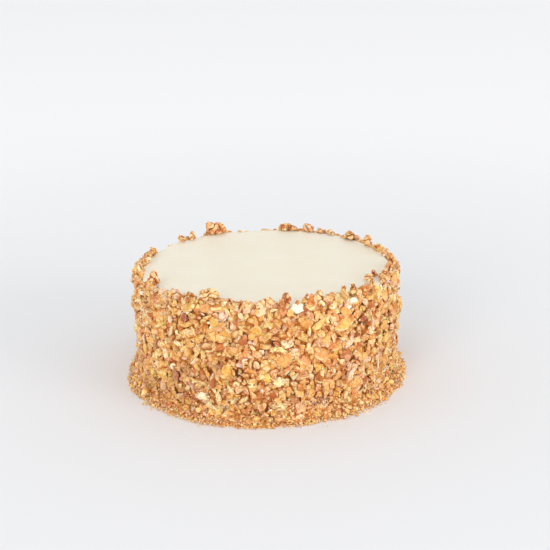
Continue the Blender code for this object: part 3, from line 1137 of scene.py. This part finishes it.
def make_rim_walnut(name, material):
    """The finer form of one CAD rim walnut: the same body, with deep winding folds."""
    number = int(name[-2:])
    seed = number + 99
    rng = np.random.default_rng(seed)
    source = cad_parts[name].data
    tree = BVHTree.FromPolygons([v.co for v in source.vertices], [f.vertices for f in source.polygons])
    low, high = (np.array(corner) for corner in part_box(name))
    middle, size = (low + high) / 2, high - low
    directions, faces = geodesic(12 if size.max() > 14 * MM else 9)
    reach = np.array([tree.ray_cast(Vector(middle), Vector(d))[3] or 0 for d in directions])
    local = directions * reach[:, None]
    height = fold_height(rng, local[None], 4.2 * MM)[0]
    fine = fold_height(rng, local[None], 1.7 * MM)[0]
    depth = np.minimum(0.34 * size.min(), 3.2 * MM)
    inward = depth * (1 - height) + 0.2 * depth * (1 - fine)
    local = local * (1 - inward / reach)[:, None]
    small, large = local.min(axis=0), local.max(axis=0)
    points = (local - small) / (large - small) * size + low
    bare = sine_noise(local, seed, 5 * MM, 8) + 0.8 * (height - 0.5)
    skin = smooth_step((0.35 - RIM_BARE.get(number, 0) - bare) / 0.25)
    brown = RIM_SKINS.get(number, rng.uniform(0.3, 0.6))
    count = len(points)
    marks = {
        # rim is a pale border where skin meets flesh, partly a painted highlight; furrow darkens the
        # valleys, partly the skin's own colour and partly painted shade; none of these pieces gets painted
        # shade from depth.
        "skin": skin,
        "rim": np.exp(-(((skin - 0.5) / 0.35) ** 2)) * 0.8,
        "furrow": np.clip(1.7 * (1 - height) ** 1.1, 0, 1.4),
        "tone": np.clip(0.6 + 0.3 * sine_noise(local, seed + 9, 3 * MM, 8), 0, 1),
        "skin_tone": np.clip(brown + 0.2 * sine_noise(local, seed + 5, 3.5 * MM, 8), 0, 0.95),
        "tint": np.full(count, rng.uniform(0.94, 1.04)),
        "key": np.full(count, rng.uniform()),
        "folded": np.full(count, 0.9),
        "sunk": np.zeros(count),
    }
    add_piece(name + "_kernel", points, faces.tolist(), material, name, marks, 50)


def make_stage():
    """A plain pale floor, larger than the view, with painted light that makes it a little brighter far off.
    """
    half = 6.0
    corners = [(x * half, y * half, 0) for x, y in ((-1, -1), (1, -1), (1, 1), (-1, 1))]
    mesh = bpy.data.meshes.new("floor")
    mesh.from_pydata(corners, [], [(0, 1, 2, 3)])
    g = Graph(bpy.data.materials.new("floor_finish"))
    away = g.node("VectorMath", {0: g.place}, operation="LENGTH").outputs["Value"]
    # Painted light: the floor grows brighter away from the cake.
    colour = g.mix(g.span(away, 0.2, 1.1), srgb(237, 238, 240), srgb(251, 251, 252))
    mesh.materials.append(g.finish(colour, 0.8))
    floor = add_object("floor", mesh)
    floor.location.z = -0.1 * MM


def add_light(name, place, size, power, colour):
    """A round light that faces the cake's middle."""
    data = bpy.data.lights.new(name, "AREA")
    data.shape = "DISK"
    data.size = size
    data.energy = power
    data.color = colour
    light = add_object(name, data)
    light.location = place
    toward = Vector((0, 0, CAKE_TOP / 2)) - Vector(place)
    light.rotation_euler = toward.to_track_quat("-Z", "Y").to_euler()


def make_light():
    """A bright haze, most near the horizon, a soft key from the front left and a fill from the right."""
    world = bpy.data.worlds.new("studio")
    g = Graph(world, "Background", "Generated")
    height = g.node("SeparateXYZ", {0: g.place}).outputs["Z"]
    span = {"From Min": 0.0, "From Max": 0.8, "To Min": HORIZON_LIGHT, "To Max": ZENITH_LIGHT}
    strength = g.node("MapRange", {"Value": height, **span}).outputs[0]
    g.put(g.shader.inputs["Strength"], strength)
    g.put(g.shader.inputs["Color"], (0.985, 0.99, 1.0))
    scene = bpy.context.scene
    scene.world = world
    scene.view_settings.view_transform = "Standard"
    add_light("key", place=(-2.35, -5.05, 2.3), size=2.9, power=104, colour=(1.0, 0.988, 0.968))
    add_light("fill", place=(4.8, -3.4, 1.3), size=3.4, power=124, colour=(1.0, 0.99, 0.98))


def make_camera():
    """A long lens, slightly above the cake."""
    yaw, pitch, roll = (math.radians(angle) for angle in (0.51, 18.6, -0.91))
    data = bpy.data.cameras.new("camera")
    data.lens = 92.6
    data.sensor_width = 36
    data.clip_end = 50
    camera = add_object("camera", data)
    ahead = Matrix.Rotation(-yaw, 4, "Z") @ Matrix.Rotation(math.pi / 2 - pitch, 4, "X")
    place = Vector((-2.5, -1126, 462.9)) * MM
    camera.matrix_world = Matrix.Translation(place) @ ahead @ Matrix.Rotation(roll, 4, "Z")
    bpy.context.scene.camera = camera


def main():
    """Makes the whole scene."""
    walnut = walnut_material()
    core = core_material("nut_paste_finish", (124, 60, 20), (184, 108, 46), (230, 166, 92))
    crumbs = core_material("crumb_finish", (168, 96, 36), (228, 156, 78), (252, 210, 136))
    frosting = frosting_material()
    make_frosting(frosting)
    make_smears(frosting)
    make_ring_core(
        "nut_core", coat_core_section, columns=250, material=core, node="nut_coat",
        relief=0.6 * MM, cell=3 * MM, seed=7,
    )
    make_ring_core(
        "crumb_core", bank_core_section, columns=360, material=crumbs, node="crumb_bank",
        relief=0.3 * MM, cell=2.2 * MM, seed=8,
    )
    make_side_nuts(walnut)
    make_face_walnuts(walnut)
    make_crest_nuts(walnut)
    make_top_bits(walnut)
    make_bank_crumbs(walnut)
    for name in rim_walnut_names():
        make_rim_walnut(name, walnut)
    make_stage()
    make_light()
    make_camera()


main()
